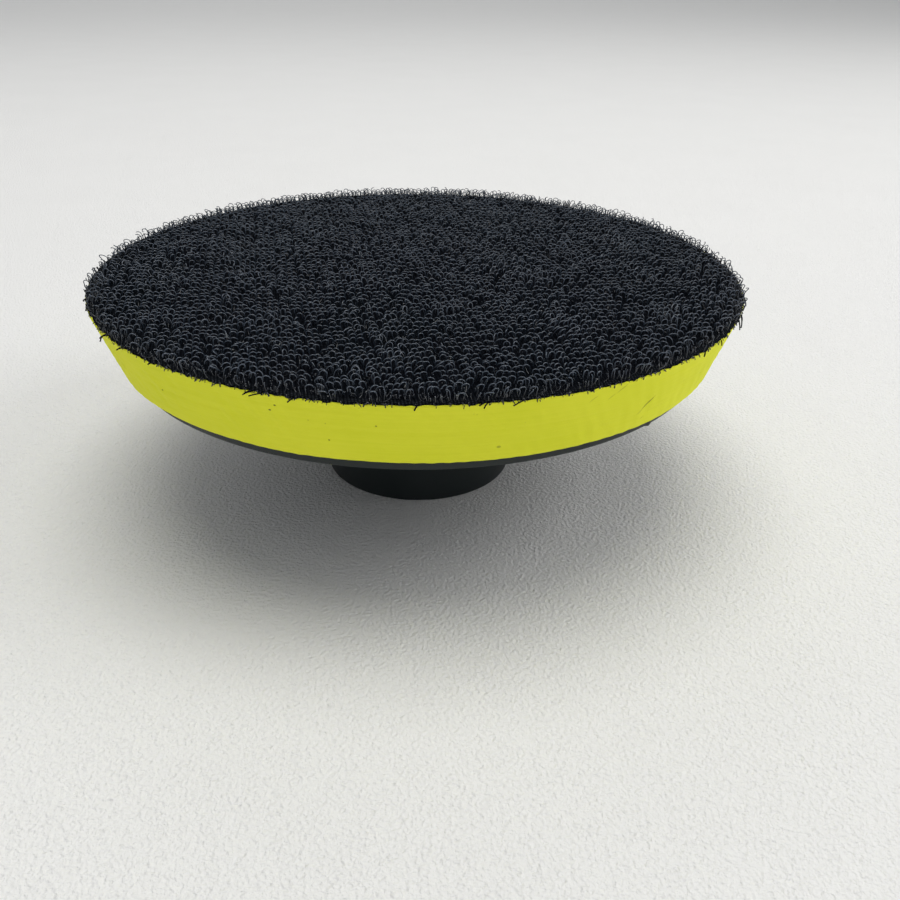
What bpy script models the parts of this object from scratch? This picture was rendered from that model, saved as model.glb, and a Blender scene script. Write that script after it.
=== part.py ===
"""Hook-and-loop backing pad that screws onto a rotary polisher's spindle.

The pad stands on the end of its hub, hook face up. The origin is the centre of the
hub's end face and +Z runs along the spindle axis towards the hook face. Units are metres.
"""
import math

import bpy

# Stack along the axis, from the hub's end upwards.
GAP = 0.0003                # clearance kept between two bonded pieces
HUB_LENGTH = 0.0283         # hub's end to the underside of the plate's rim
RIM_THICKNESS = 0.0017
FOAM_THICKNESS = 0.0115
WEB_THICKNESS = 0.0004
PILE_HEIGHT = 0.0014

# Radii about the axis.
FACE_RADIUS = 0.0625        # 125 mm hook face
FOAM_FOOT_RADIUS = 0.0583   # foam where it meets the plate, a little beyond the rim
RIM_RADIUS = 0.0565
HUB_RADIUS = 0.0195
HUB_ROOT_RADIUS = 0.0204    # hub where it runs into the plate

# Backing plate: a rim that thickens towards the hub, over radial ribs.
PLATE_EDGE = 0.0004         # chamfer on the rim and on the hub's end
DISH_START_RADIUS = 0.050
DISH_END_RADIUS = 0.0225
DISH_DEPTH = 0.0036
RIB_COUNT = 12
RIB_WIDTH = 0.0022
RIB_FOOT_Z = 0.0187
RIB_INNER_RADIUS = 0.0180
RIB_OUTER_RADIUS = 0.0520

# Steel insert, held in the hub by its hexagon and by a ring of plastic in its groove.
INSERT_FLATS = 0.022        # across flats
INSERT_LENGTH = 0.022
INSERT_RECESS = 0.0006      # its end face sits this far inside the hub's end
RECESS_RADIUS = 0.0135
GROOVE_RADIUS = 0.0095
GROOVE_START = 0.0085       # measured from the insert's lower end
GROOVE_END = 0.0135
THREAD_MINOR_RADIUS = 0.00592
THREAD_CHAMFER = 0.0014

# Steps round a full turn, all multiples of six so that a hexagon's corners are kept.
WIDE_STEPS = 120
NARROW_STEPS = 48

PLATE_TOP = HUB_LENGTH + RIM_THICKNESS
FOAM_BASE = PLATE_TOP + GAP
WEB_BASE = FOAM_BASE + FOAM_THICKNESS + GAP
PILE_BASE = WEB_BASE + WEB_THICKNESS + GAP


def circle(radius):
    """Outline of a circle, as a function from angle to radius."""
    return lambda angle: radius


def hexagon(across_flats):
    """Outline of a hexagon with corners at 0, 60, ... degrees."""
    def outline(angle):
        from_flat = angle % (math.pi / 3) - math.pi / 6
        return across_flats / 2 / math.cos(from_flat)
    return outline


def add_object(name, vertices, faces, base_z, material):
    mesh = bpy.data.meshes.new(name)
    mesh.from_pydata(vertices, [], faces)
    mesh.shade_smooth()
    mesh.set_sharp_from_angle(angle=math.radians(30))
    mesh.materials.append(material)
    piece = bpy.data.objects.new(name, mesh)
    piece.location.z = base_z
    piece.parent = pad_axis
    bpy.context.scene.collection.objects.link(piece)
    return piece


def turned(name, rings, steps, base_z, material, closed_ring=False):
    """Join rings, each (outline, height), into one closed body.

    The rings run down the outer side. The two end rings are capped at the axis, or with
    closed_ring the last one joins the first, which leaves a hole through the piece.
    """
    vertices = []
    for outline, height in rings:
        for step in range(steps):
            angle = 2 * math.pi * step / steps
            radius = outline(angle)
            vertices.append((radius * math.cos(angle), radius * math.sin(angle), height))
    faces = []
    bands = len(rings) if closed_ring else len(rings) - 1
    for band in range(bands):
        upper = band * steps
        lower = (band + 1) % len(rings) * steps
        for step in range(steps):
            after = (step + 1) % steps
            faces.append((upper + step, lower + step, lower + after, upper + after))
    if not closed_ring:
        last = (len(rings) - 1) * steps
        top_centre = len(vertices)
        vertices.append((0, 0, rings[0][1]))
        vertices.append((0, 0, rings[-1][1]))
        for step in range(steps):
            after = (step + 1) % steps
            faces.append((top_centre, step, after))
            faces.append((top_centre + 1, last + after, last + step))
    return add_object(name, vertices, faces, base_z, material)


def principled(name, colour, roughness, metallic=0.0):
    material = bpy.data.materials.new(name)
    material.use_nodes = True
    shader = material.node_tree.nodes["Principled BSDF"]
    shader.inputs["Base Color"].default_value = (*colour, 1.0)
    shader.inputs["Roughness"].default_value = roughness
    shader.inputs["Metallic"].default_value = metallic
    return material


def make_backing_plate():
    """Plate and hub in one moulding, with the pocket that grips the insert."""
    dish_bottom = HUB_LENGTH - DISH_DEPTH
    pocket = INSERT_FLATS + 2 * GAP
    pocket_top = INSERT_RECESS + INSERT_LENGTH + GAP
    collar_low = INSERT_RECESS + GROOVE_START + GAP
    collar_high = INSERT_RECESS + GROOVE_END - GAP
    collar_radius = GROOVE_RADIUS + GAP
    fillet = DISH_END_RADIUS - HUB_ROOT_RADIUS
    rings = [
        (circle(RIM_RADIUS - PLATE_EDGE), PLATE_TOP),
        (circle(RIM_RADIUS), PLATE_TOP - PLATE_EDGE),
        (circle(RIM_RADIUS), HUB_LENGTH + PLATE_EDGE),
        (circle(RIM_RADIUS - PLATE_EDGE), HUB_LENGTH),
        (circle(DISH_START_RADIUS), HUB_LENGTH),
        (circle(DISH_END_RADIUS), dish_bottom),
        (circle(HUB_ROOT_RADIUS + fillet * 0.3), dish_bottom - fillet * 0.4),
        (circle(HUB_ROOT_RADIUS), dish_bottom - fillet * 1.3),
        (circle(HUB_RADIUS), PLATE_EDGE * 2),
        (circle(HUB_RADIUS - PLATE_EDGE), PLATE_EDGE / 2),
        (circle(HUB_RADIUS - PLATE_EDGE * 2), 0),
        (circle(RECESS_RADIUS), 0),
        (circle(RECESS_RADIUS), INSERT_RECESS),
        (hexagon(pocket), INSERT_RECESS),
        (hexagon(pocket), collar_low),
        (circle(collar_radius), collar_low),
        (circle(collar_radius), collar_high),
        (hexagon(pocket), collar_high),
        (hexagon(pocket), pocket_top),
    ]
    plate = turned("backing_plate", rings, WIDE_STEPS, 0, black_plastic)
    union = plate.modifiers.new("ribs", "BOOLEAN")
    union.operation = "UNION"
    union.solver = "EXACT"
    union.object = make_ribs()


def make_ribs():
    """Radial ribs as a guide that the plate's Boolean adds to it."""
    root_z = HUB_LENGTH + RIM_THICKNESS / 2
    side = [
        (RIB_INNER_RADIUS, RIB_FOOT_Z),
        (HUB_ROOT_RADIUS, RIB_FOOT_Z),
        (RIB_OUTER_RADIUS, HUB_LENGTH - PLATE_EDGE),
        (RIB_OUTER_RADIUS, root_z),
        (RIB_INNER_RADIUS, root_z),
    ]
    corners = len(side)
    vertices = []
    faces = []
    for rib in range(RIB_COUNT):
        angle = 2 * math.pi * (rib + 0.5) / RIB_COUNT
        along = (math.cos(angle), math.sin(angle))
        first = len(vertices)
        for offset in (RIB_WIDTH / 2, -RIB_WIDTH / 2):
            for radius, height in side:
                x = radius * along[0] - offset * along[1]
                y = radius * along[1] + offset * along[0]
                vertices.append((x, y, height))
        faces.append([first + corner for corner in reversed(range(corners))])
        faces.append([first + corners + corner for corner in range(corners)])
        for corner in range(corners):
            after = (corner + 1) % corners
            faces.append((first + corner, first + after,
                          first + corners + after, first + corners + corner))
    ribs = add_object("rib_guide", vertices, faces, 0, black_plastic)
    ribs.hide_render = True
    ribs.display_type = "WIRE"
    return ribs


def make_threaded_insert():
    """Hexagonal steel nut with a locking groove, bored to the thread's minor diameter."""
    mouth = circle(THREAD_MINOR_RADIUS + THREAD_CHAMFER)
    rings = [
        (hexagon(INSERT_FLATS), INSERT_LENGTH),
        (hexagon(INSERT_FLATS), GROOVE_END),
        (circle(GROOVE_RADIUS), GROOVE_END),
        (circle(GROOVE_RADIUS), GROOVE_START),
        (hexagon(INSERT_FLATS), GROOVE_START),
        (hexagon(INSERT_FLATS), 0),
        (mouth, 0),
        (circle(THREAD_MINOR_RADIUS), THREAD_CHAMFER),
        (circle(THREAD_MINOR_RADIUS), INSERT_LENGTH - THREAD_CHAMFER),
        (mouth, INSERT_LENGTH),
    ]
    turned("threaded_insert", rings, NARROW_STEPS, INSERT_RECESS, steel, closed_ring=True)


def make_foam_pad():
    """Foam disc that narrows evenly from the hook face down to the plate."""
    foot_round = 0.0004
    rings = [
        (circle(FACE_RADIUS), FOAM_THICKNESS),
        (circle(FOAM_FOOT_RADIUS), foot_round),
        (circle(FOAM_FOOT_RADIUS - foot_round), 0),
    ]
    turned("foam_pad", rings, WIDE_STEPS, FOAM_BASE, yellow_foam)


def make_hook_web():
    """Woven ground of the hook tape, cut to the face's full diameter."""
    rings = [(circle(FACE_RADIUS), WEB_THICKNESS), (circle(FACE_RADIUS), 0)]
    turned("hook_web", rings, WIDE_STEPS, WEB_BASE, black_nylon)


def make_hook_pile():
    """Envelope of the standing hooks, from the web to their tips."""
    tip_round = 0.0003
    rings = [
        (circle(FACE_RADIUS - tip_round), PILE_HEIGHT),
        (circle(FACE_RADIUS), PILE_HEIGHT - tip_round),
        (circle(FACE_RADIUS), 0),
    ]
    turned("hook_pile", rings, WIDE_STEPS, PILE_BASE, hook_nylon)


for old in list(bpy.data.objects):
    bpy.data.objects.remove(old)

pad_axis = bpy.data.objects.new("pad_axis", None)
bpy.context.scene.collection.objects.link(pad_axis)

black_plastic = principled("black_plastic", (0.020, 0.022, 0.022), 0.42)
steel = principled("steel", (0.55, 0.56, 0.57), 0.32, metallic=1.0)
yellow_foam = principled("yellow_foam", (0.66, 0.74, 0.02), 0.85)
black_nylon = principled("black_nylon", (0.008, 0.009, 0.011), 0.75)
hook_nylon = principled("hook_nylon", (0.014, 0.016, 0.020), 0.45)

make_backing_plate()
make_threaded_insert()
make_foam_pad()
make_hook_web()
make_hook_pile()
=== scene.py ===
"""Visual model of a hook-and-loop backing pad for a rotary polisher. Lengths are in metres."""
import math

import bpy
import numpy as np
from mathutils import Matrix, Vector


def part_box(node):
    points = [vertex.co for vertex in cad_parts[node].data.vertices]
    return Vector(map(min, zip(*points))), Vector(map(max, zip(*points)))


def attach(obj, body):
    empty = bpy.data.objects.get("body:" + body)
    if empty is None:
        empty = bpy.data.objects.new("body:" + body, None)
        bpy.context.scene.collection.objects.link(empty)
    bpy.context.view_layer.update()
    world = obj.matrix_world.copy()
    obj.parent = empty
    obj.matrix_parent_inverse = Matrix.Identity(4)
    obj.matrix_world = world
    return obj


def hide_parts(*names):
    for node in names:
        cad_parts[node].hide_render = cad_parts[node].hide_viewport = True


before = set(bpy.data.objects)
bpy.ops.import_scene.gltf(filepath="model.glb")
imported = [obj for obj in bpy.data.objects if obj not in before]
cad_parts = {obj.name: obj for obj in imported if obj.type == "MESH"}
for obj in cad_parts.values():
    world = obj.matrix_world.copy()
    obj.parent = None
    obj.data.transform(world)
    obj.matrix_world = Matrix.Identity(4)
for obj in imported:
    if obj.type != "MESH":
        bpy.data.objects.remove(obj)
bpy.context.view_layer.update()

# Driving sizes, read from the frame's own solids.
TAPE_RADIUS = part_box("hook_web")[1][0]
PLATE_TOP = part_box("backing_plate")[1][2]
RIM_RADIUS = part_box("backing_plate")[1][0]
FOAM_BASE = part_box("foam_pad")[0][2]
WEB_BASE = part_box("hook_web")[0][2]
WEB_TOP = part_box("hook_web")[1][2]
TIP_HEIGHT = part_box("hook_pile")[1][2]
INSERT_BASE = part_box("threaded_insert")[0][2]
INSERT_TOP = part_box("threaded_insert")[1][2]

rng = np.random.default_rng(41)


# ---------------------------------------------------------------- mesh helpers

def add_mesh(name, points, faces, material, smooth=True):
    """One object from an array of points and a list (or array) of faces."""
    mesh = bpy.data.meshes.new(name)
    if isinstance(faces, np.ndarray):
        count, corners = faces.shape
        mesh.vertices.add(len(points))
        mesh.vertices.foreach_set("co", np.asarray(points, dtype=np.float32).ravel())
        mesh.loops.add(count * corners)
        mesh.loops.foreach_set("vertex_index", faces.astype(np.int32).ravel())
        mesh.polygons.add(count)
        mesh.polygons.foreach_set("loop_start", np.arange(count, dtype=np.int32) * corners)
        mesh.update(calc_edges=True)
    else:
        mesh.from_pydata(points, [], faces)
    mesh.validate()
    if smooth:
        mesh.shade_smooth()
    mesh.materials.append(material)
    piece = bpy.data.objects.new(name, mesh)
    bpy.context.scene.collection.objects.link(piece)
    return piece


def finish_piece(piece, slot, *nodes):
    """Put a piece on its body and hide the CAD nodes that it stands for; slot is not used."""
    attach(piece, "root")
    if nodes:
        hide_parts(*nodes)
    return piece


def grid_faces(rows, columns, wrap_rows=False):
    """Quads between the rings of a surface whose columns close on themselves."""
    last = rows if wrap_rows else rows - 1
    row, column = np.meshgrid(np.arange(last), np.arange(columns), indexing="ij")
    below = (row + 1) % rows
    after = (column + 1) % columns
    quads = [row * columns + column, below * columns + column,
             below * columns + after, row * columns + after]
    return np.stack([quad.ravel() for quad in quads], axis=1)


def tubes(name, paths, radii, sides, material):
    """Round filaments along many paths at once, with both ends closed.

    paths is (filaments, points, 3) and radii is (filaments, points).
    """
    filaments, count, _ = paths.shape
    along = np.gradient(paths, axis=1)
    along /= np.linalg.norm(along, axis=2, keepdims=True)
    side = np.zeros_like(along)
    start = np.cross(along[:, 0], np.array([0.31, 0.87, 0.38]))
    side[:, 0] = start / np.linalg.norm(start, axis=1, keepdims=True)
    for point in range(1, count):
        carried = side[:, point - 1]
        carried = carried - along[:, point] * (carried * along[:, point]).sum(1, keepdims=True)
        side[:, point] = carried / np.linalg.norm(carried, axis=1, keepdims=True)
    other = np.cross(along, side)
    angles = np.arange(sides) * 2 * math.pi / sides
    ring = (side[:, :, None] * np.cos(angles)[None, None, :, None]
            + other[:, :, None] * np.sin(angles)[None, None, :, None])
    points = paths[:, :, None] + ring * radii[:, :, None, None]
    ends = paths[:, [0, -1]]
    points = np.concatenate([points.reshape(filaments, -1, 3), ends], axis=1)
    per_tube = count * sides + 2

    walls = grid_faces(count, sides)
    low, high, near, far = walls[:, 0], walls[:, 1], walls[:, 2], walls[:, 3]
    wall_triangles = np.concatenate([
        np.stack([low, near, high], axis=1),
        np.stack([low, far, near], axis=1),
    ])
    step = np.arange(sides)
    after = (step + 1) % sides
    first_cap = np.stack([np.full(sides, per_tube - 2), after, step], axis=1)
    last_ring = (count - 1) * sides
    last_cap = np.stack([np.full(sides, per_tube - 1), last_ring + step, last_ring + after], axis=1)
    one = np.concatenate([wall_triangles, first_cap, last_cap])
    faces = one[None] + (np.arange(filaments) * per_tube)[:, None, None]
    piece = add_mesh(name, points.reshape(-1, 3), faces.reshape(-1, 3), material)
    piece.data.set_sharp_from_angle(angle=math.radians(80))
    return piece


# ---------------------------------------------------------------- hook tape

FILAMENT = 0.00017          # thickness of the hooks' monofilament
PAIR_PITCH = 0.00195        # two columns of hooks make a pair
PARTNER_SHIFT = 0.00084     # second column of a pair, from the first
ROW_PITCH = 0.00364         # along one column; the second column sits half a pitch further on
LATTICE_TURN = math.radians(9)
COLUMN_DRIFT = 0.00007      # how far a pair of columns strays to one side
HOOK_HALF_WIDTH = 0.00053   # from a hook's middle to its leg
ROOT_DEPTH = 0.00015        # legs and stubs start this far inside the woven ground
LEAN_HEIGHT = 0.0017        # a leaning filament has moved by its full lean at this height
HOOK_SIDES = 6
LOW_SIDES = 5
HOOK_PIECES = 8             # the hooks are split by angle into pieces of like size,
STUB_PIECES = 2             # and so are their stubs
INFILL = 0.75               # share of the places with one more hook, half a pitch further on
EDGE_ZONE = 0.0020          # hooks this close to the cut edge lean outwards or are cut short
EDGE_MARGIN = 0.0003        # no hook stands closer to the cut edge
UNDERGROWTH = 3800          # low bits of filament between the legs
WEB_LINES = 300             # grid lines each way across the woven ground


def waves(count, shortest, longest, seed):
    """A smooth random field over the plane, about -1 to 1, from a few sine waves."""
    local = np.random.default_rng(seed)
    lengths = local.uniform(shortest, longest, count)
    headings = local.uniform(0, 2 * math.pi, count)
    phases = local.uniform(0, 2 * math.pi, count)

    def field(x, y):
        total = np.zeros_like(x)
        for length, heading, phase in zip(lengths, headings, phases):
            across = x * math.cos(heading) + y * math.sin(heading)
            total += np.sin(2 * math.pi * across / length + phase)
        return total / math.sqrt(count / 2)
    return field


def hook_places():
    """Base point of each hook, and +1 or -1 for the side that its cut end is on."""
    reach = int(TAPE_RADIUS / PAIR_PITCH) + 3
    rows = int(TAPE_RADIUS / ROW_PITCH) + 3
    pair, row, partner = np.meshgrid(
        np.arange(-reach, reach + 1), np.arange(-rows, rows + 1), [0, 1], indexing="ij")
    pair, row, partner = pair.ravel(), row.ravel(), partner.ravel()
    drift = np.random.default_rng(7).normal(0, COLUMN_DRIFT, 2 * reach + 1)
    across = pair * PAIR_PITCH + partner * PARTNER_SHIFT + drift[pair + reach]
    along = (row + partner / 2) * ROW_PITCH
    filled = rng.random(along.shape) < INFILL
    across = np.concatenate([across, across[filled]])
    along = np.concatenate([along, along[filled] + ROW_PITCH / 2])
    partner = np.concatenate([partner, partner[filled]])
    across = across + rng.normal(0, 0.00006, across.shape)
    along = along + rng.normal(0, 0.00015, along.shape)
    x = across * math.cos(LATTICE_TURN) - along * math.sin(LATTICE_TURN)
    y = across * math.sin(LATTICE_TURN) + along * math.cos(LATTICE_TURN)
    side = np.where(rng.random(x.shape) < np.where(partner == 0, 0.12, 0.42), 1.0, -1.0)
    inside = np.hypot(x, y) < TAPE_RADIUS - EDGE_MARGIN
    return x[inside], y[inside], side[inside]


def hook_paths(x, y, side):
    """Centre lines of the hooks and of the stubs that their cut legs leave."""
    count = len(x)
    height = (TIP_HEIGHT - WEB_TOP - FILAMENT / 2) * rng.normal(1.03, 0.06, count)
    height += 0.00007 * waves(9, 0.008, 0.030, 3)(x, y)
    half = HOOK_HALF_WIDTH * rng.normal(1.0, 0.11, count)
    foot = half * rng.uniform(0.60, 0.95, count)
    crown = half * rng.uniform(0.65, 0.95, count)
    cut_height = height * rng.uniform(0.52, 0.78, count)
    flare = rng.normal(0.00002, 0.00009, count)

    # Each path runs up the whole leg, over the crown and down to the cut.
    leg = np.linspace(0, 1, 5)[None]
    arc = np.linspace(math.pi, 0, 8)[None, 1:]
    drop = np.linspace(0, 1, 5)[None, 1:]
    shoulder = (height - crown)[:, None]
    leg_u = -(foot[:, None] + (half - foot)[:, None] * np.sin(leg * math.pi / 2))
    leg_z = -ROOT_DEPTH + (shoulder + ROOT_DEPTH) * leg
    arc_u = half[:, None] * np.cos(arc)
    arc_z = shoulder + crown[:, None] * np.sin(arc)
    drop_u = half[:, None] + flare[:, None] * drop ** 2
    drop_z = shoulder - (shoulder - cut_height[:, None]) * drop
    u = np.concatenate([leg_u, arc_u, drop_u], axis=1) * side[:, None]
    z = np.concatenate([leg_z, arc_z, drop_z], axis=1)
    v = np.zeros_like(u)

    stub = np.linspace(0, 1, 4)[None]
    stub_height = height * rng.uniform(0.25, 0.72, count)
    stub_bend = rng.normal(0, 0.00012, count)[:, None]
    stub_u = foot[:, None] + (half - foot)[:, None] * stub + stub_bend * stub ** 2
    stub_u = stub_u * side[:, None]
    stub_z = -ROOT_DEPTH + (stub_height[:, None] + ROOT_DEPTH) * stub
    stub_v = rng.normal(0, 0.00010, count)[:, None] * stub ** 2

    # Turn and lean, shared by a hook and its stub.
    wild = rng.random(count) < 0.09
    turn = LATTICE_TURN + rng.normal(0, math.radians(10), count)
    turn += math.radians(9) * waves(7, 0.010, 0.035, 5)(x, y)
    turn += np.where(wild, rng.normal(0, math.radians(45), count), 0)
    spread = np.where(wild, 0.36, 0.13)
    lean_u = rng.normal(0, 0.75, count) * spread + 0.10 * waves(7, 0.009, 0.030, 11)(x, y)
    lean_v = rng.normal(0, 1, count) * spread + 0.10 * waves(7, 0.009, 0.030, 12)(x, y)

    radius = np.hypot(x, y)
    edge = np.clip((radius - (TAPE_RADIUS - EDGE_ZONE)) / EDGE_ZONE, 0, 1)
    out_push = edge * rng.uniform(0.0, 0.75, count)

    def placed(pu, pv, pz):
        """From the hook's own frame to the pad's, leaning more towards the tip."""
        rise = pz / LEAN_HEIGHT
        lean = LEAN_HEIGHT * rise * (0.35 + 0.65 * rise)
        pu = pu + lean * lean_u[:, None]
        pv = pv + lean * lean_v[:, None]
        px = x[:, None] + pu * np.cos(turn)[:, None] - pv * np.sin(turn)[:, None]
        py = y[:, None] + pu * np.sin(turn)[:, None] + pv * np.cos(turn)[:, None]
        px = px + lean * (out_push * x / radius)[:, None]
        py = py + lean * (out_push * y / radius)[:, None]
        tilt = 1 - 0.32 * (out_push[:, None] * rise) ** 2
        return np.stack([px, py, WEB_TOP + pz * tilt], axis=2)

    return placed(u, v, z), placed(stub_u, stub_v, stub_z), edge


def cut_short(paths, share):
    """The same paths stopped after a share of their length, with as many points."""
    count = paths.shape[1]
    at = np.linspace(0, 1, count)[None] * share[:, None] * (count - 1)
    low = np.minimum(at.astype(int), count - 2)
    part = (at - low)[:, :, None]
    rows = np.arange(len(paths))[:, None]
    return paths[rows, low] * (1 - part) + paths[rows, low + 1] * part


def undergrowth_paths():
    """Low cut ends and bent pieces of filament that lie between the hooks' legs."""
    count = UNDERGROWTH
    reach = (TAPE_RADIUS - EDGE_MARGIN) * np.sqrt(rng.random(count))
    at_rim = rng.random(count) < 0.22
    rim_reach = rng.uniform(TAPE_RADIUS - EDGE_ZONE, TAPE_RADIUS - 0.0002, count)
    reach = np.where(at_rim, rim_reach, reach)
    angle = rng.uniform(0, 2 * math.pi, count)
    heading = rng.uniform(0, 2 * math.pi, count)
    length = rng.uniform(0.00055, 0.00145, count)
    slant = rng.uniform(0.10, 0.85, count)
    at = np.linspace(0, 1, 5)[None]
    level = slant[:, None] * length[:, None] * (at + 0.35 * np.sin(math.pi * at))
    rise = np.sqrt(1 - 0.8 * slant[:, None] ** 2) * length[:, None] * at
    x = (reach * np.cos(angle))[:, None] + level * np.cos(heading)[:, None]
    y = (reach * np.sin(angle))[:, None] + level * np.sin(heading)[:, None]
    z = WEB_TOP - 0.00005 + rise
    return np.stack([x, y, z], axis=2)


def filament_piece(name, paths, sides, material):
    """Filaments of the hooks' own thickness, as one finished piece."""
    radii = np.full(paths.shape[:2], FILAMENT / 2)
    return finish_piece(tubes(name, paths, radii, sides, material), "hook_nylon")


def filament_sectors(name, sectors, paths, angle, sides, material):
    """Filaments split into numbered pieces by the angle of their base."""
    sector = ((angle + math.pi) / (2 * math.pi) * sectors).astype(int) % sectors
    return [filament_piece(f"{name}_{number + 1}", paths[sector == number], sides, material)
            for number in range(sectors)]


def make_hooks(material):
    """The hook field: hooks, the stubs beside them and low ends between them."""
    x, y, side = hook_places()
    hooks, stubs, edge = hook_paths(x, y, side)
    clipped = (edge > 0.30) & (rng.random(len(x)) < 0.30 + 0.50 * edge)
    share = np.where(clipped, rng.uniform(0.18, 0.62, len(x)), 1.0)
    hooks = cut_short(hooks, share)
    angle = np.arctan2(y, x)
    pieces = filament_sectors("hooks", HOOK_PIECES, hooks, angle, HOOK_SIDES, material)
    pieces += filament_sectors("hook_stubs", STUB_PIECES, stubs, angle, LOW_SIDES, material)
    pieces.append(filament_piece("hook_undergrowth", undergrowth_paths(), LOW_SIDES, material))
    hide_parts("hook_pile")
    return pieces


def disc_points(count, radius):
    """A square grid bent into a disc, so that it has even cells and a clean edge."""
    line = np.linspace(-1, 1, count)
    a, b = np.meshgrid(line, line, indexing="ij")
    wide = np.abs(a) >= np.abs(b)
    safe_a = np.where(a == 0, 1, a)
    safe_b = np.where(b == 0, 1, b)
    angle = np.where(wide, math.pi / 4 * b / safe_a, math.pi / 2 - math.pi / 4 * a / safe_b)
    reach = np.where(wide, a, b)
    return reach * np.cos(angle) * radius, reach * np.sin(angle) * radius


def make_web(material):
    """Woven ground: an open sheet with a rib under each pair of columns and a cut rim."""
    count = WEB_LINES
    x, y = disc_points(count, 1.0)
    angle = np.arctan2(y, x)
    # The cut line wanders: a long wave, and shorter ones that come and go.
    ragged = 0.00014 * np.sin(67 * angle + 1.3) * np.sin(23 * angle) + 0.00010 * np.sin(151 * angle)
    ragged += 0.00010 * np.sin(239 * angle + 0.7) * np.sin(31 * angle + 0.4)
    ragged += 0.00005 * np.sin(11 * angle + 2.0)
    reach = np.hypot(x, y)
    outer = TAPE_RADIUS - 0.0001 + ragged * reach ** 12
    x, y = x * outer, y * outer
    across = x * math.cos(LATTICE_TURN) + y * math.sin(LATTICE_TURN)
    along = -x * math.sin(LATTICE_TURN) + y * math.cos(LATTICE_TURN)
    rib = np.cos(2 * math.pi * (across - PARTNER_SHIFT / 2) / PAIR_PITCH)
    stagger = math.pi * np.round(across / PAIR_PITCH * 2)
    pick = np.cos(2 * math.pi * along / (ROW_PITCH / 4) + stagger)
    z = WEB_TOP + 0.00006 * rib + 0.00003 * pick
    z -= 0.00018 * np.clip((reach - 0.985) / 0.015, 0, 1) ** 2
    points = np.stack([x, y, z], axis=2).reshape(-1, 3)
    row, column = np.meshgrid(np.arange(count - 1), np.arange(count - 1), indexing="ij")
    first = (row * count + column).ravel()
    faces = np.stack([first, first + count, first + count + 1, first + 1], axis=1)

    # A rim wall from the sheet's border down to the foam.
    edge = np.arange(count)
    back = edge[::-1]
    border = np.concatenate([edge * count, (count - 1) * count + edge[1:],
                             back[1:] * count + count - 1, back[1:-1]])
    foot = points[border].copy()
    foot[:, 2] = WEB_BASE - 0.0002
    foot[:, :2] *= 0.998
    low = len(points) + np.arange(len(border))
    after = np.roll(np.arange(len(border)), -1)
    wall = np.stack([border, low, low[after], border[after]], axis=1)
    points = np.concatenate([points, foot])
    web = add_mesh("woven_ground", points, np.concatenate([faces, wall]), material)
    return finish_piece(web, "web_nylon", "hook_web")


def edge_filaments(name, material, count, length, thick, points, slew):
    """Filaments that stick out of the tape's cut edge and droop.

    length and thick are ranges, and slew is how far they trail round the edge as they go out.
    """
    angle = rng.uniform(0, 2 * math.pi, count)
    reach = rng.uniform(*length, count)
    sideways = rng.normal(slew, 0.45, count)
    droop = rng.uniform(0.25, 0.85, count)
    height = rng.uniform(WEB_BASE - 0.00005, WEB_TOP - 0.0001, count)
    at = np.linspace(0, 1, points)[None]
    out = TAPE_RADIUS - 0.0002 + reach[:, None] * np.sin(at * 1.3) * 0.45
    turn = angle[:, None] + sideways[:, None] * reach[:, None] * at / TAPE_RADIUS
    z = height[:, None] - droop[:, None] * reach[:, None] * at ** 2.0
    paths = np.stack([out * np.cos(turn), out * np.sin(turn), z], axis=2)
    radii = rng.uniform(*thick, count)[:, None] * np.ones((1, points))
    return finish_piece(tubes(name, paths, radii, LOW_SIDES, material), "hook_nylon")


def make_fringe(bristle_material, stray_material):
    """Cut filament ends round the tape's edge: many short bristles and some longer strays."""
    bristles = edge_filaments("edge_bristles", bristle_material, count=700, points=4, slew=0.0,
                              length=(0.00030, 0.00075), thick=(0.00005, 0.00010))
    strays = edge_filaments("edge_strays", stray_material, count=78, points=8, slew=-0.85,
                            length=(0.0007, 0.0020), thick=(0.00010, 0.00013))
    return [bristles, strays]


# ---------------------------------------------------------------- foam

FOAM_FOOT = 0.0583          # radius at the plate
FOAM_STEPS = 1200
FOAM_ROWS = 44
KNIFE_MARKS = 26


def around(angle, height, count, turns, rises, seed):
    """Noise that closes on itself round the pad: about -1 to 1."""
    local = np.random.default_rng(seed)
    total = np.zeros(np.broadcast(angle, height).shape)
    for _ in range(count):
        turn = local.integers(*turns)
        rise = local.uniform(*rises)
        total += np.sin(turn * angle + 2 * math.pi * rise * height + local.uniform(0, 2 * math.pi))
    return total / math.sqrt(count / 2)


def turned_mesh(name, radii, heights, material):
    """A closed turned body from radii and heights, (rings, steps), capped on the axis."""
    rings, steps = radii.shape
    angle = np.arange(steps) * 2 * math.pi / steps
    points = np.stack([radii * np.cos(angle), radii * np.sin(angle), heights], axis=2)
    caps = np.array([[0, 0, heights[0].mean()], [0, 0, heights[-1].mean()]])
    points = np.concatenate([points.reshape(-1, 3), caps])
    quads = grid_faces(rings, steps)
    last = (rings - 1) * steps
    centre = rings * steps
    faces = [tuple(quad) for quad in quads.tolist()]
    faces += [(centre, step, (step + 1) % steps) for step in range(steps)]
    faces += [(centre + 1, last + (step + 1) % steps, last + step) for step in range(steps)]
    return add_mesh(name, points.tolist(), faces, material)


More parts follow.
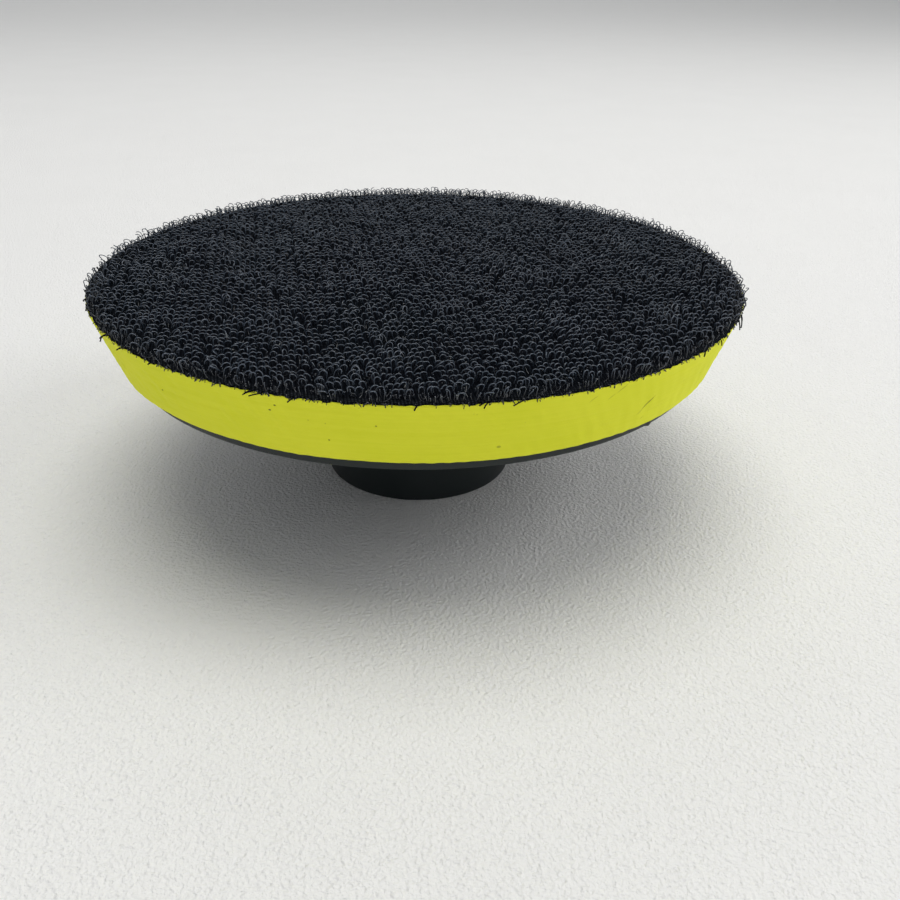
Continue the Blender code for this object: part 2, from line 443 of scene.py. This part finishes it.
def make_foam(material):
    """Foam cone: slightly wavy, with knife marks and a rounded lower corner."""
    top = WEB_BASE - 0.00005
    base = FOAM_BASE + 0.0001
    angle = (np.arange(FOAM_STEPS) * 2 * math.pi / FOAM_STEPS)[None]
    down = np.linspace(0, 1, FOAM_ROWS)[:, None]
    height = top + (base - top) * down
    radius = TAPE_RADIUS + (FOAM_FOOT - TAPE_RADIUS) * down
    # The lower corner is slightly rounded, and the whole flank is a little wavy.
    radius = radius - 0.0003 * np.clip((down - 0.955) / 0.045, 0, 1) ** 2
    radius = radius + 0.00007 * around(angle, height, 14, (2, 22), (0, 40), 21)
    radius = radius + 0.00003 * around(angle, height, 24, (30, 160), (60, 260), 22)
    # Knife marks: shallow grooves that run part of the way round, almost level.
    local = np.random.default_rng(23)
    for _ in range(KNIFE_MARKS):
        start = local.uniform(0, 2 * math.pi)
        arc = local.uniform(0.3, 1.4)
        level = local.uniform(0.08, 0.92) + local.normal(0, 0.02) * np.sin(angle + start)
        away = np.abs((angle - start + math.pi) % (2 * math.pi) - math.pi)
        fade = np.clip(1 - away / arc, 0, 1) ** 0.5
        radius = radius - 0.00006 * fade * np.exp(-((down - level) / 0.022) ** 2)
    inner = np.linspace(0.15, 0.985, 7)[:, None]
    level_ring = np.ones((len(inner), FOAM_STEPS))
    radii = np.concatenate([radius[0] * inner, radius, radius[-1] * inner[::-1]])
    heights = np.concatenate([top * level_ring, height * np.ones_like(angle), base * level_ring])
    foam = turned_mesh("foam_disc", radii, heights, material)
    return finish_piece(foam, "yellow_foam", "foam_pad")


# ---------------------------------------------------------------- plate, hub and insert

HUB_RADIUS = 0.0195
HUB_ROOT_RADIUS = 0.0204
RIM_BOTTOM = 0.0283
DISH_START = 0.050
DISH_END = 0.0232
DISH_DEPTH = 0.0036
RECESS_RADIUS = 0.0135
INSERT_FLATS = 0.022
RIBS = 12
RIB_WIDTH = 0.0022
RIB_FOOT = 0.0187
EDGE_ROUND = 0.00035        # on the rim and the ribs
HUB_BLEND = 0.0009          # the hub's side ends this far above its end face
CORE_RADIUS = 0.001         # innermost ring of the plate, closed by a cap
POCKET_RADIUS = INSERT_FLATS / 2 * 1.17     # clear of the insert's corners
PLATE_STEPS = 720
NUB_ANGLE = -0.82           # a nub of moulding flash on the rim's lower edge,
NUB_HALF_ANGLE = 0.010
NUB_OUT = 0.00022           # how far it stands out
NUB_DOWN = 0.00016          # and down
THREAD_MINOR = 0.00592
THREAD_DEPTH = 0.0011
THREAD_PITCH = 0.002


def rounded(corners, radius, points=5):
    """The outline through corners with each inner corner rounded off."""
    path = [corners[0]]
    for before, corner, after in zip(corners, corners[1:], corners[2:]):
        before, corner, after = Vector(before), Vector(corner), Vector(after)
        back = before - corner
        on = after - corner
        reach = min(radius, back.length * 0.45, on.length * 0.45)
        start = corner + back.normalized() * reach
        end = corner + on.normalized() * reach
        for point in range(points):
            t = point / (points - 1)
            path.append(tuple(start * (1 - t) ** 2 + corner * 2 * t * (1 - t) + end * t ** 2))
    path.append(corners[-1])
    return path


def make_plate(material):
    """Plate and hub turned from one outline, with the ribs joined on."""
    dish = RIM_BOTTOM - DISH_DEPTH
    top = FOAM_BASE + 0.00015
    middle = (PLATE_TOP + RIM_BOTTOM) / 2
    outline = rounded([
        (CORE_RADIUS, top), (RIM_RADIUS, top), (RIM_RADIUS + 0.00004, middle),
        (RIM_RADIUS, RIM_BOTTOM), (DISH_START, RIM_BOTTOM)], EDGE_ROUND)
    outline += rounded([
        (DISH_START, RIM_BOTTOM), (DISH_END, dish), (HUB_ROOT_RADIUS, dish - 0.0024),
        (HUB_RADIUS, HUB_BLEND)], 0.0016)[1:]
    outline += rounded([
        (HUB_RADIUS, HUB_BLEND), (HUB_RADIUS, 0), (RECESS_RADIUS, 0),
        (RECESS_RADIUS, INSERT_BASE), (POCKET_RADIUS, INSERT_BASE)], 0.0006)[1:]
    outline.append((POCKET_RADIUS, INSERT_TOP + 0.0003))
    outline.append((CORE_RADIUS, INSERT_TOP + 0.0003))
    radii, heights = (np.array(column)[:, None] * np.ones((1, PLATE_STEPS))
                      for column in zip(*outline))
    angle = np.arange(PLATE_STEPS) * 2 * math.pi / PLATE_STEPS
    from_nub = (angle - NUB_ANGLE + math.pi) % (2 * math.pi) - math.pi
    on_rim = (radii > DISH_START + 0.002) & (heights < middle)
    nub = np.exp(-(from_nub / NUB_HALF_ANGLE) ** 4)[None]
    radii = radii + on_rim * NUB_OUT * nub
    heights = heights - on_rim * NUB_DOWN * nub
    plate = turned_mesh("plate_and_hub", radii, heights, material)
    plate.data.set_sharp_from_angle(angle=math.radians(40))
    ribs = make_ribs(material)
    union = plate.modifiers.new("ribs", "BOOLEAN")
    union.operation = "UNION"
    union.solver = "EXACT"
    union.object = ribs
    apply_modifiers(plate)
    bpy.data.objects.remove(ribs)
    plate.data.shade_smooth()
    plate.data.set_sharp_from_angle(angle=math.radians(35))
    return finish_piece(plate, "black_plastic", "backing_plate")


def apply_modifiers(piece):
    """Swap a piece's mesh for the one that its modifiers give."""
    graph = bpy.context.evaluated_depsgraph_get()
    mesh = bpy.data.meshes.new_from_object(piece.evaluated_get(graph))
    piece.modifiers.clear()
    piece.data = mesh


def make_ribs(material):
    """Radial ribs with rounded edges that run out from the hub under the plate."""
    inner = HUB_RADIUS - 0.0015
    outer = DISH_START + 0.0015
    buried = (PLATE_TOP + RIM_BOTTOM) / 2
    profile = [(inner, RIB_FOOT), (HUB_ROOT_RADIUS, RIB_FOOT), (outer, RIM_BOTTOM - 0.0003),
               (outer, buried), (inner, buried)]
    vertices = []
    faces = []
    for rib in range(RIBS):
        angle = 2 * math.pi * (rib + 0.5) / RIBS
        turn = Matrix.Rotation(angle, 3, "Z")
        first = len(vertices)
        for offset in (RIB_WIDTH / 2, -RIB_WIDTH / 2):
            vertices += [turn @ Vector((radius, offset, height)) for radius, height in profile]
        size = len(profile)
        faces.append([first + corner for corner in reversed(range(size))])
        faces.append([first + size + corner for corner in range(size)])
        for corner in range(size):
            after = (corner + 1) % size
            faces.append((first + corner, first + after, first + size + after,
                          first + size + corner))
    ribs = add_mesh("rib_guide", vertices, faces, material, smooth=False)
    bevel = ribs.modifiers.new("edges", "BEVEL")
    bevel.width = EDGE_ROUND
    bevel.segments = 2
    apply_modifiers(ribs)
    return ribs


def make_insert(material):
    """Hexagonal steel insert with a real internal thread and countersunk mouths."""
    steps = 96
    angle = (np.arange(steps) * 2 * math.pi / steps)[None]
    to_flat = angle % (math.pi / 3) - math.pi / 6
    hexagon = INSERT_FLATS / 2 / np.cos(to_flat)
    corner_cut = INSERT_FLATS / 2 * 1.09
    chamfered = np.minimum(hexagon, corner_cut)
    rows = 150
    height = np.linspace(INSERT_BASE, INSERT_TOP, rows)[:, None]
    turn = (height / THREAD_PITCH - angle / (2 * math.pi)) % 1.0
    crest = np.clip(np.abs(turn * 2 - 1) * 1.25 - 0.1, 0, 1)
    bore = THREAD_MINOR + THREAD_DEPTH * crest
    from_end = np.minimum(height - INSERT_BASE, INSERT_TOP - height)
    mouth = THREAD_MINOR + 0.0014 - from_end
    bore = np.maximum(bore, mouth)
    flat = np.ones_like(angle)
    outer_radii = [chamfered, hexagon, hexagon, chamfered]
    outer_heights = [INSERT_TOP, INSERT_TOP - 0.0009, INSERT_BASE + 0.0009, INSERT_BASE]
    radii = np.concatenate(outer_radii + [bore])
    heights = np.concatenate([level * flat for level in outer_heights] + [height * flat])
    points = np.stack([radii * np.cos(angle), radii * np.sin(angle), heights], axis=2)
    faces = grid_faces(len(radii), steps, wrap_rows=True)
    insert = add_mesh("spindle_insert", points.reshape(-1, 3), faces, material)
    insert.data.set_sharp_from_angle(angle=math.radians(40))
    return finish_piece(insert, "steel", "threaded_insert")


# ---------------------------------------------------------------- materials

FLANK_RADIUS = 0.0605       # of the foam's flank, about halfway up


def new_material(name, colour, roughness, **sockets):
    """A Principled material with constants on its sockets."""
    material = bpy.data.materials.new(name)
    material.use_nodes = True
    shader = material.node_tree.nodes["Principled BSDF"]
    shader.inputs["Base Color"].default_value = (*colour, 1.0)
    shader.inputs["Roughness"].default_value = roughness
    for socket, value in sockets.items():
        shader.inputs[socket.replace("_", " ")].default_value = value
    return material


class Graph:
    """Short calls for the few node types that the materials share."""

    def __init__(self, material):
        self.tree = material.node_tree
        self.shader = self.tree.nodes["Principled BSDF"]
        self.coords = self.tree.nodes.new("ShaderNodeTexCoord").outputs["Object"]

    def link(self, source, target):
        self.tree.links.new(source, target)

    def mapped(self, scale=(1, 1, 1), turn=0.0):
        node = self.tree.nodes.new("ShaderNodeMapping")
        node.inputs["Scale"].default_value = scale
        node.inputs["Rotation"].default_value = (0, 0, turn)
        self.link(self.coords, node.inputs["Vector"])
        return node.outputs["Vector"]

    def noise(self, scale, detail=2.0, roughness=0.5, vector=None):
        node = self.tree.nodes.new("ShaderNodeTexNoise")
        node.inputs["Scale"].default_value = scale
        node.inputs["Detail"].default_value = detail
        node.inputs["Roughness"].default_value = roughness
        self.link(vector or self.coords, node.inputs["Vector"])
        return node.outputs["Fac"]

    def spots(self, scale):
        """Distance to the nearest of many scattered points."""
        node = self.tree.nodes.new("ShaderNodeTexVoronoi")
        node.inputs["Scale"].default_value = scale
        self.link(self.coords, node.inputs["Vector"])
        return node.outputs["Distance"]

    def bands(self, period, vector, axis="X", distortion=0.0):
        """Stripes across an axis, a period in metres apart."""
        node = self.tree.nodes.new("ShaderNodeTexWave")
        node.bands_direction = axis
        node.inputs["Scale"].default_value = math.pi / (10 * period)
        node.inputs["Distortion"].default_value = distortion
        self.link(vector, node.inputs["Vector"])
        return node.outputs["Fac"]

    def remap(self, value, low, high, to_low=0.0, to_high=1.0):
        node = self.tree.nodes.new("ShaderNodeMapRange")
        node.inputs["From Min"].default_value = low
        node.inputs["From Max"].default_value = high
        node.inputs["To Min"].default_value = to_low
        node.inputs["To Max"].default_value = to_high
        self.link(value, node.inputs["Value"])
        return node.outputs["Result"]

    def math(self, operation, first, second):
        node = self.tree.nodes.new("ShaderNodeMath")
        node.operation = operation
        for socket, value in zip(node.inputs, (first, second)):
            if isinstance(value, (int, float)):
                socket.default_value = value
            else:
                self.link(value, socket)
        return node.outputs["Value"]

    def height(self):
        split = self.tree.nodes.new("ShaderNodeSeparateXYZ")
        self.link(self.coords, split.inputs["Vector"])
        return split.outputs["Z"]

    def radius(self):
        """Distance from the pad's axis."""
        split = self.tree.nodes.new("ShaderNodeSeparateXYZ")
        self.link(self.coords, split.inputs["Vector"])
        squares = [self.math("POWER", split.outputs[axis], 2.0) for axis in "XY"]
        return self.math("POWER", self.math("ADD", *squares), 0.5)

    def round_the_axis(self):
        """Vector of arc length round the flank and height, for marks drawn on a turned side."""
        split = self.tree.nodes.new("ShaderNodeSeparateXYZ")
        self.link(self.coords, split.inputs["Vector"])
        angle = self.math("ARCTAN2", split.outputs["Y"], split.outputs["X"])
        join = self.tree.nodes.new("ShaderNodeCombineXYZ")
        self.link(self.math("MULTIPLY", angle, FLANK_RADIUS), join.inputs["X"])
        self.link(split.outputs["Z"], join.inputs["Y"])
        return join.outputs["Vector"]

    def mark(self, vector, angle, height, half_length, half_width, tilt):
        """A soft elongated spot at an angle and height on the flank: 1 at its middle, 0 outside."""
        place = self.tree.nodes.new("ShaderNodeMapping")
        place.vector_type = "TEXTURE"
        place.inputs["Location"].default_value = (angle * FLANK_RADIUS, height, 0)
        place.inputs["Rotation"].default_value = (0, 0, tilt)
        place.inputs["Scale"].default_value = (half_length, half_width, 1)
        self.link(vector, place.inputs["Vector"])
        spot = self.tree.nodes.new("ShaderNodeTexGradient")
        spot.gradient_type = "SPHERICAL"
        self.link(place.outputs["Vector"], spot.inputs["Vector"])
        return self.remap(spot.outputs["Fac"], 0.0, 0.45)

    def blend(self, factor, first, second):
        """Colour between two constants or sockets."""
        node = self.tree.nodes.new("ShaderNodeMix")
        node.data_type = "RGBA"
        self.link(factor, node.inputs["Factor"])
        for socket, value in ((node.inputs[6], first), (node.inputs[7], second)):
            if isinstance(value, tuple):
                socket.default_value = (*value, 1.0)
            else:
                self.link(value, socket)
        return node.outputs[2]

    def colour(self, value):
        self.link(value, self.shader.inputs["Base Color"])

    def rough(self, value):
        self.link(value, self.shader.inputs["Roughness"])

    def bump(self, *layers):
        """Each layer is (height, distance in metres, strength)."""
        normal = None
        for height, distance, strength in layers:
            node = self.tree.nodes.new("ShaderNodeBump")
            node.inputs["Distance"].default_value = distance
            node.inputs["Strength"].default_value = strength
            self.link(height, node.inputs["Height"])
            if normal:
                self.link(normal, node.inputs["Normal"])
            normal = node.outputs["Normal"]
        self.link(normal, self.shader.inputs["Normal"])


def hook_material():
    """Black nylon monofilament: glossy and a little bluish, with painted shade low down between the
    legs and a painted highlight towards the hooks' crowns.
    """
    material = new_material("hook_filament", (0.012, 0.017, 0.027), 0.24, IOR=1.66)
    graph = Graph(material)
    drift = graph.noise(260, 3)
    # Painted light: darker low down as painted shade between the legs, paler at the crowns as a
    # painted highlight.
    height = graph.remap(graph.height(), WEB_TOP + 0.0004, WEB_TOP + 0.0016)
    low = graph.blend(drift, (0.0050, 0.0070, 0.0105), (0.0110, 0.0150, 0.0220))
    high = graph.blend(drift, (0.030, 0.042, 0.062), (0.068, 0.090, 0.126))
    graph.colour(graph.blend(height, low, high))
    graph.rough(graph.remap(graph.noise(900, 2), 0.3, 0.7, 0.15, 0.29))
    return material


def web_material():
    """Woven nylon ground in line with the hooks: dull and dark, darkened further with painted shade
    under the hooks, and paler at its cut rim.
    """
    material = new_material("woven_nylon", (0.003, 0.0035, 0.0045), 0.9, Specular_IOR_Level=0.0)
    graph = Graph(material)
    vector = graph.mapped(turn=-LATTICE_TURN)
    warp = graph.bands(PAIR_PITCH / 4, vector, "X", 0.6)
    weft = graph.bands(ROW_PITCH / 8, vector, "Y", 0.8)
    weave = graph.math("MULTIPLY", warp, weft)
    # Painted shade: the inner ground is drawn darker than its nylon, for the shade under the hooks;
    # towards the cut rim it is paler.
    inner = graph.blend(weave, (0.0028, 0.0034, 0.0046), (0.0100, 0.0120, 0.0160))
    outer = graph.blend(weave, (0.004, 0.0048, 0.006), (0.030, 0.034, 0.040))
    rim = graph.remap(graph.radius(), TAPE_RADIUS - 0.0016, TAPE_RADIUS - 0.0006)
    graph.colour(graph.blend(rim, inner, outer))
    graph.bump((weave, 0.00018, 0.8), (graph.noise(6000, 2), 0.00005, 0.5))
    return material


# Cuts and specks on the foam's flank, darkened in the colour as painted shade in the cuts: angle,
# height, half length, half width, tilt, darkness.
FOAM_MARKS = (
    (-0.929, 0.0358, 0.0018, 0.00016, 0.85, 0.75),
    (-0.948, 0.0345, 0.0009, 0.00010, 0.80, 0.45),
    (-1.060, 0.0410, 0.0012, 0.00010, 0.80, 0.40),
    (-1.085, 0.0398, 0.0009, 0.00009, 0.75, 0.30),
    (-1.140, 0.0402, 0.0010, 0.00009, 0.70, 0.30),
    (-0.925, 0.0327, 0.0006, 0.00009, 0.60, 0.30),
    (-1.914, 0.0401, 0.00022, 0.00016, 0.0, 0.90),
    (-1.930, 0.0391, 0.00026, 0.00018, 0.3, 0.90),
    (-1.369, 0.0332, 0.00040, 0.00030, 0.0, 0.45),
    (-2.300, 0.0365, 0.00022, 0.00018, 0.0, 0.60),
    (0.850, 0.0372, 0.0016, 0.00013, 0.55, 0.60),
    (1.900, 0.0345, 0.00040, 0.00030, 0.2, 0.50),
    (2.700, 0.0390, 0.0011, 0.00010, -0.60, 0.45),
)


def foam_material():
    """Cut polyurethane foam: fine cells, level knife marks, a few small cuts and pits, with painted
    shade in the cuts and pits.
    """
    material = new_material("foam_yellow", (0.80, 0.84, 0.024), 0.85, IOR=1.4)
    graph = Graph(material)
    cells = graph.spots(3600)
    grain = graph.noise(5200, 3, 0.6)
    streaks = graph.noise(1, 4, 0.62, graph.mapped((38, 38, 2600)))
    patches = graph.noise(85, 3)
    tone = graph.math("ADD", graph.remap(patches, 0.3, 0.7, 0.0, 0.6),
                      graph.remap(streaks, 0.35, 0.65, 0.0, 0.4))
    base = graph.blend(tone, (0.785, 0.82, 0.026), (0.85, 0.865, 0.040))
    # Painted shade: pits and the cuts listed above are darkened in the colour, besides being sunk
    # by the bump.
    chance = graph.remap(graph.noise(430, 1), 0.66, 0.72)
    pit = graph.remap(graph.spots(900), 0.17, 0.10)
    dark = graph.math("MULTIPLY", graph.math("MULTIPLY", pit, chance), 0.6)
    flank = graph.round_the_axis()
    for angle, height, half_length, half_width, tilt, depth in FOAM_MARKS:
        mark = graph.mark(flank, angle, height, half_length, half_width, tilt)
        dark = graph.math("MAXIMUM", dark, graph.math("MULTIPLY", mark, depth))
    graph.colour(graph.blend(dark, base, (0.10, 0.10, 0.008)))
    graph.rough(graph.remap(grain, 0.3, 0.7, 0.78, 0.95))
    sunk = graph.math("SUBTRACT", 1.0, dark)
    graph.bump((streaks, 0.00012, 0.5), (cells, 0.00004, 0.35), (grain, 0.00005, 0.5),
               (sunk, 0.00020, 0.8))
    return material


def plastic_material():
    """Black glass-filled nylon as it leaves the mould, satin with a faint grain."""
    material = new_material("plate_plastic", (0.010, 0.013, 0.013), 0.42, Specular_IOR_Level=0.38)
    graph = Graph(material)
    grain = graph.noise(3200, 3, 0.6)
    drift = graph.noise(120, 3)
    graph.colour(graph.blend(drift, (0.0055, 0.0100, 0.0108), (0.0105, 0.0165, 0.0175)))
    graph.rough(graph.remap(drift, 0.3, 0.7, 0.34, 0.52))
    graph.bump((grain, 0.00003, 0.35), (graph.noise(420, 2), 0.00006, 0.2))
    return material


def steel_material():
    """Turned steel with fine tool marks round the axis."""
    material = new_material("insert_steel", (0.52, 0.53, 0.54), 0.3, Metallic=1.0)
    graph = Graph(material)
    marks = graph.noise(1, 3, 0.6, graph.mapped((160, 160, 9000)))
    graph.colour(graph.blend(graph.noise(350, 3), (0.42, 0.43, 0.44), (0.60, 0.61, 0.62)))
    graph.rough(graph.remap(marks, 0.3, 0.7, 0.22, 0.42))
    graph.bump((marks, 0.00002, 0.4))
    return material


def floor_material():
    """Pale table covering with a fine leather-like grain."""
    material = new_material("pale_table", (0.82, 0.815, 0.805), 0.75, Specular_IOR_Level=0.3)
    graph = Graph(material)
    pebble = graph.spots(1500)
    fold = graph.noise(1500, 3, 0.55)
    fine = graph.noise(3200, 2, 0.6)
    graph.colour(graph.blend(graph.noise(24, 3), (0.81, 0.805, 0.795), (0.84, 0.835, 0.825)))
    graph.rough(graph.remap(fine, 0.3, 0.7, 0.65, 0.85))
    graph.bump((fold, 0.00042, 1.0), (pebble, 0.00018, 0.7), (fine, 0.00008, 0.5))
    return material


# ---------------------------------------------------------------- camera, stage and lights

FOCAL_LENGTH = 0.0368       # on a 36 mm sensor
CAMERA_DISTANCE = 0.1868    # from the middle of the tape's underside
CAMERA_ELEVATION = 0.3049   # radians above the level of the hook face
CAMERA_YAW = -0.0345        # then turned a little to the right,
CAMERA_PITCH = -0.1941      # down,
CAMERA_ROLL = 0.0051        # and round


def make_camera():
    """Camera in front of the pad, looking down on the hook face."""
    camera = bpy.data.objects.new("camera", bpy.data.cameras.new("camera"))
    camera.data.sensor_width = 36.0
    camera.data.lens = FOCAL_LENGTH * 1000
    camera.data.clip_start = 0.01
    camera.data.clip_end = 20.0
    target = Vector((0, 0, WEB_BASE))
    back = Vector((0, -math.cos(CAMERA_ELEVATION), math.sin(CAMERA_ELEVATION)))
    facing = Matrix.Rotation(math.pi / 2 - CAMERA_ELEVATION, 4, "X")
    facing = facing @ Matrix.Rotation(CAMERA_YAW, 4, "Y")
    facing = facing @ Matrix.Rotation(CAMERA_PITCH, 4, "X")
    facing = facing @ Matrix.Rotation(CAMERA_ROLL, 4, "Z")
    camera.matrix_world = Matrix.Translation(target + back * CAMERA_DISTANCE) @ facing
    bpy.context.scene.collection.objects.link(camera)
    bpy.context.scene.camera = camera


def make_floor(material):
    """A wide, flat table top."""
    half = 4.0
    points = np.array([[-half, -half, 0], [half, -half, 0], [half, half, 0], [-half, half, 0]])
    add_mesh("table_top", points, np.array([[0, 1, 2, 3]]), material)


def area_light(name, place, aim, size, power, colour):
    light = bpy.data.lights.new(name, "AREA")
    light.shape = "DISK"
    light.size = size
    light.energy = power
    light.color = colour
    lamp = bpy.data.objects.new(name, light)
    lamp.location = place
    lamp.rotation_euler = (Vector(aim) - Vector(place)).to_track_quat("-Z", "Y").to_euler()
    bpy.context.scene.collection.objects.link(lamp)


def make_light():
    """Soft studio light: a large disc overhead, one from the right, one far behind."""
    world = bpy.data.worlds.new("studio")
    world.use_nodes = True
    background = world.node_tree.nodes["Background"]
    background.inputs["Color"].default_value = (0.96, 0.98, 1.0, 1.0)
    background.inputs["Strength"].default_value = 0.40
    bpy.context.scene.world = world
    pad = (0, 0, 0.02)
    warm = (1.0, 0.995, 0.975)
    area_light("overhead", place=(0.0, 0.08, 1.4), aim=pad, size=1.15, power=11.3, colour=warm)
    area_light("right", place=(1.1, 0, 0.8), aim=pad, size=0.8, power=5.2, colour=warm)
    area_light("back", place=(-0.5, 2.9, 1.9), aim=(-0.4, 2.4, 0), size=2.0, power=10.0,
               colour=(1.0, 1.0, 0.99))
    bpy.context.scene.view_settings.view_transform = "Standard"


# ---------------------------------------------------------------- build

hook_nylon = hook_material()
web_nylon = web_material()
web = make_web(web_nylon)
hooks = make_hooks(hook_nylon)
fringe = make_fringe(hook_nylon, web_nylon)
make_foam(foam_material())
make_plate(plastic_material())
make_insert(steel_material())
make_floor(floor_material())
make_camera()
make_light()
